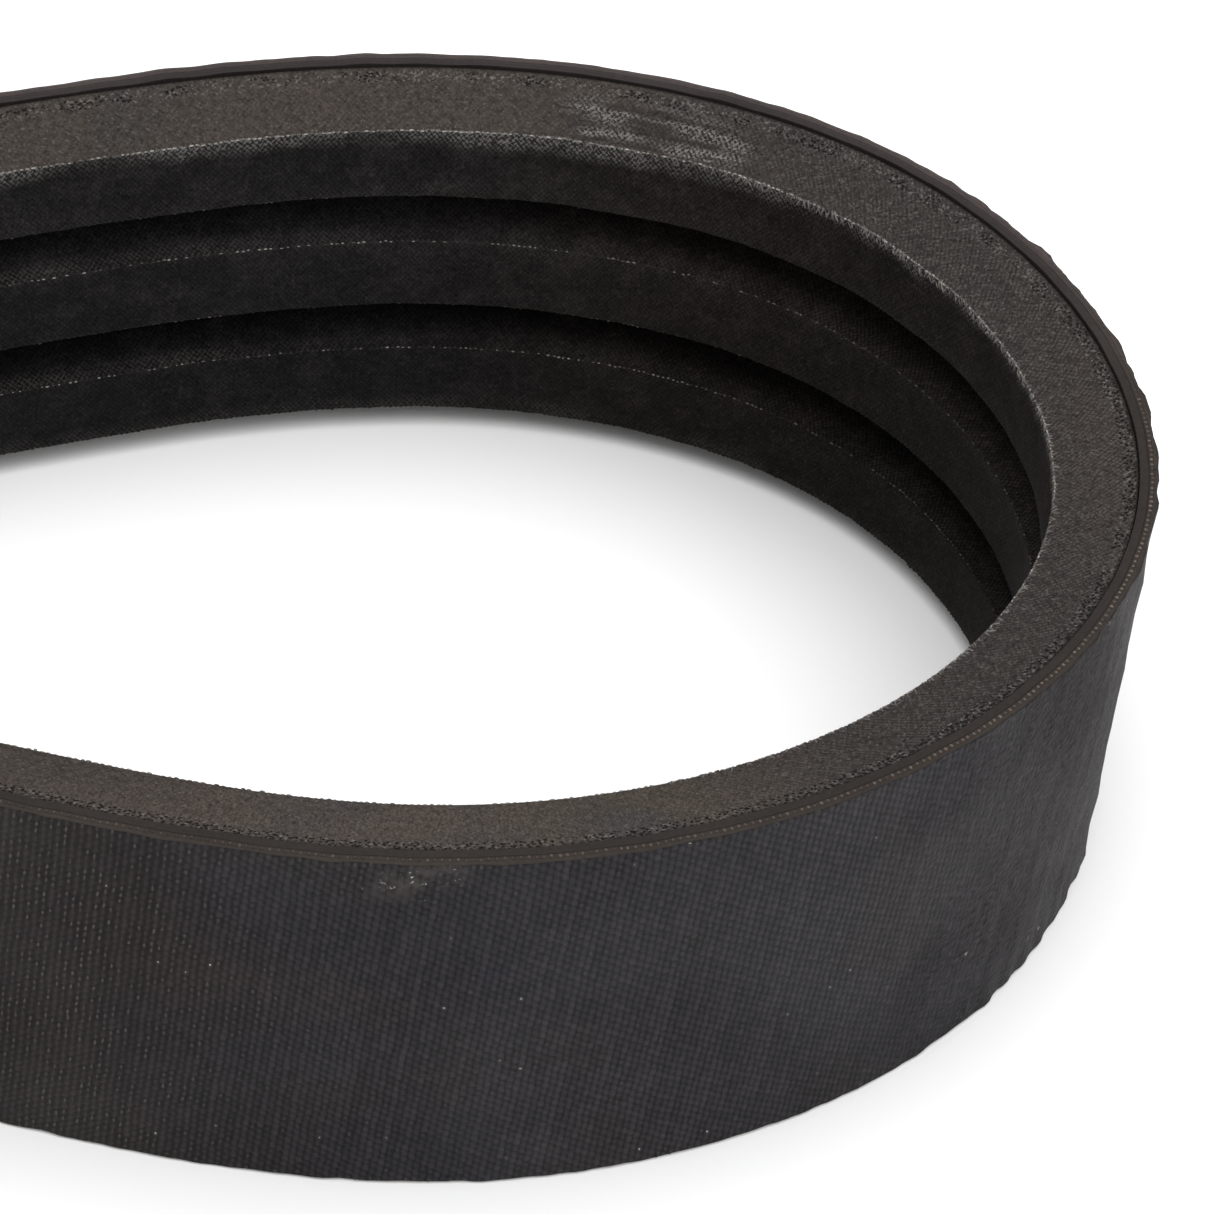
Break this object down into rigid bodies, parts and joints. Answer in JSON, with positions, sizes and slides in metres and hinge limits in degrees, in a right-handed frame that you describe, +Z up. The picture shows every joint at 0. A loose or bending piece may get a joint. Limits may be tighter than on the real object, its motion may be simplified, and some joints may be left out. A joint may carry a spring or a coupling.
{
  "type": "joined v belt",
  "caption": "Joined wrapped V-belt: V-section ribs under one fabric tie band, an endless loop standing on edge in a relaxed dog-bone outline.",
  "frame": {"origin": "centre of the loop's box, at the lower edge that it stands on", "axes": "+X along the length of the loop, towards the right-hand lobe; +Y across the loop; +Z up, across the belt's width"},
  "size_m": [0.5796, 0.1469, 0.0562],
  "materials": {
    "back_fabric": "coarse plain-woven rubberised fabric, charcoal, matt with a faint sheen",
    "cross_cord_ply": "cut edge of rubber-coated cord ply, dark brown, satin",
    "inner_fabric": "rubberised fabric, dark brown-black, matt",
    "jacket_fabric": "fine woven rubberised jacket, warm dark grey, matt, worn paler along the edges",
    "tension_rubber": "black rubber, satin",
    "adhesion_gum": "dark brown gum rubber, satin",
    "tensile_cord": "twisted polyester cord, tan, dipped",
    "compression_rubber": "black fibre-loaded rubber, matt"
  },
  "bodies": {
    "root": {"tie_band_back_fabric": "back_fabric", "tie_band_cross_cord_ply": "cross_cord_ply", "tie_band_inner_fabric": "inner_fabric", "rib_1_jacket": "jacket_fabric", "rib_1_tension_rubber": "tension_rubber", "rib_1_upper_adhesion_gum": "adhesion_gum", "rib_1_tensile_cord": "tensile_cord", "rib_1_lower_adhesion_gum": "adhesion_gum", "rib_1_compression_rubber": "compression_rubber", "rib_2_jacket": "jacket_fabric", "rib_2_tension_rubber": "tension_rubber", "rib_2_upper_adhesion_gum": "adhesion_gum", "rib_2_tensile_cord": "tensile_cord", "rib_2_lower_adhesion_gum": "adhesion_gum", "rib_2_compression_rubber": "compression_rubber", "rib_3_jacket": "jacket_fabric", "rib_3_tension_rubber": "tension_rubber", "rib_3_upper_adhesion_gum": "adhesion_gum", "rib_3_tensile_cord": "tensile_cord", "rib_3_lower_adhesion_gum": "adhesion_gum", "rib_3_compression_rubber": "compression_rubber"}
  },
  "joints": []
}
